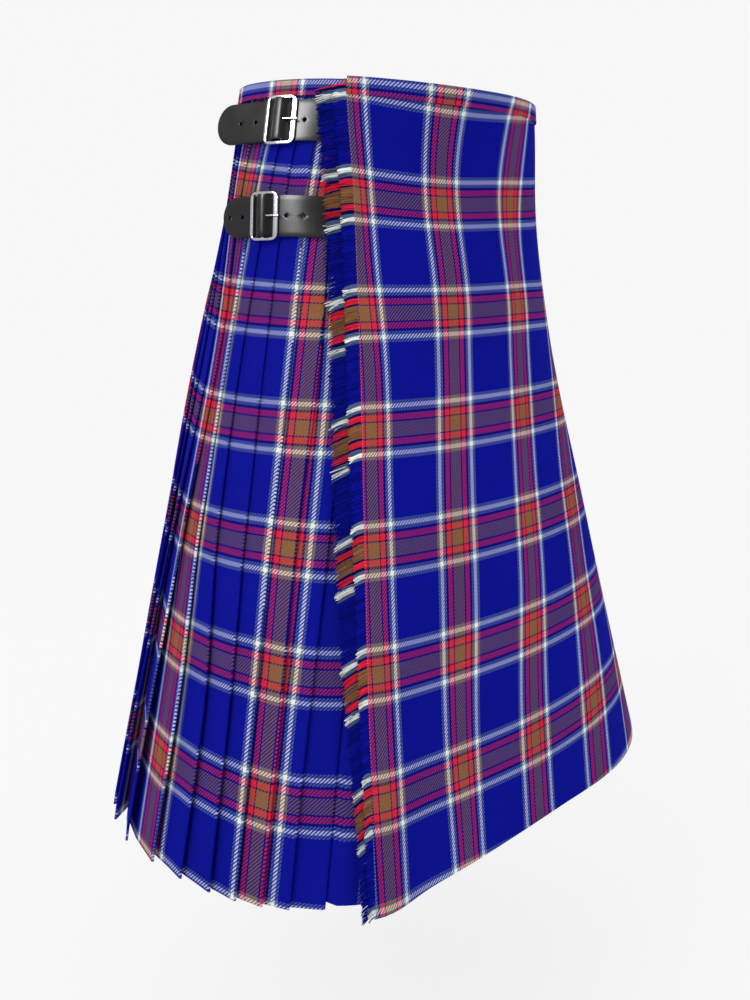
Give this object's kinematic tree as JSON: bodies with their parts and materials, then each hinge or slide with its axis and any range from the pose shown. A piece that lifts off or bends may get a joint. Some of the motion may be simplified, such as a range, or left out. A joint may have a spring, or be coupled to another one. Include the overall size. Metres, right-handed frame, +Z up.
{
  "type": "kilt",
  "caption": "Knife-pleated tartan wrap skirt with two overlapping aprons, a fringed front edge and leather straps with buckles at the hip, standing open at waist and hem",
  "frame": {"origin": "the middle of the waist opening, level with the waist edge at the hips", "axes": "+Z up, the wearer faces -Y, the wearer's right hand is at -X"},
  "size_m": [0.573, 0.4183, 0.6405],
  "materials": {
    "apron_cloth": "worsted wool twill, blue tartan with white, red and brown stripes",
    "inner_cloth": "the same cloth, inside",
    "pleat_cloth": "the same cloth, pleated to the sett",
    "band_cloth": "the same cloth, folded over the waist edge",
    "fringe_yarn": "cut yarn ends in the cloth's colours",
    "fringe_back": "cut yarn ends in the cloth's colours, in shade",
    "leather": "black leather, smooth and slightly shiny",
    "tab_leather": "black leather",
    "buckle_metal": "polished chrome plate",
    "prong_metal": "polished wire"
  },
  "bodies": {
    "root": {"over_apron": "apron_cloth", "under_apron": "inner_cloth", "pleated_back": "pleat_cloth", "waistband": "band_cloth", "fringe_outer": "fringe_yarn", "fringe_under": "fringe_back", "strap_upper": "leather", "strap_lower": "leather", "tab_upper": "tab_leather", "tab_lower": "tab_leather", "buckle_upper": "buckle_metal", "buckle_lower": "buckle_metal", "prong_upper": "prong_metal", "prong_lower": "prong_metal"}
  },
  "joints": []
}
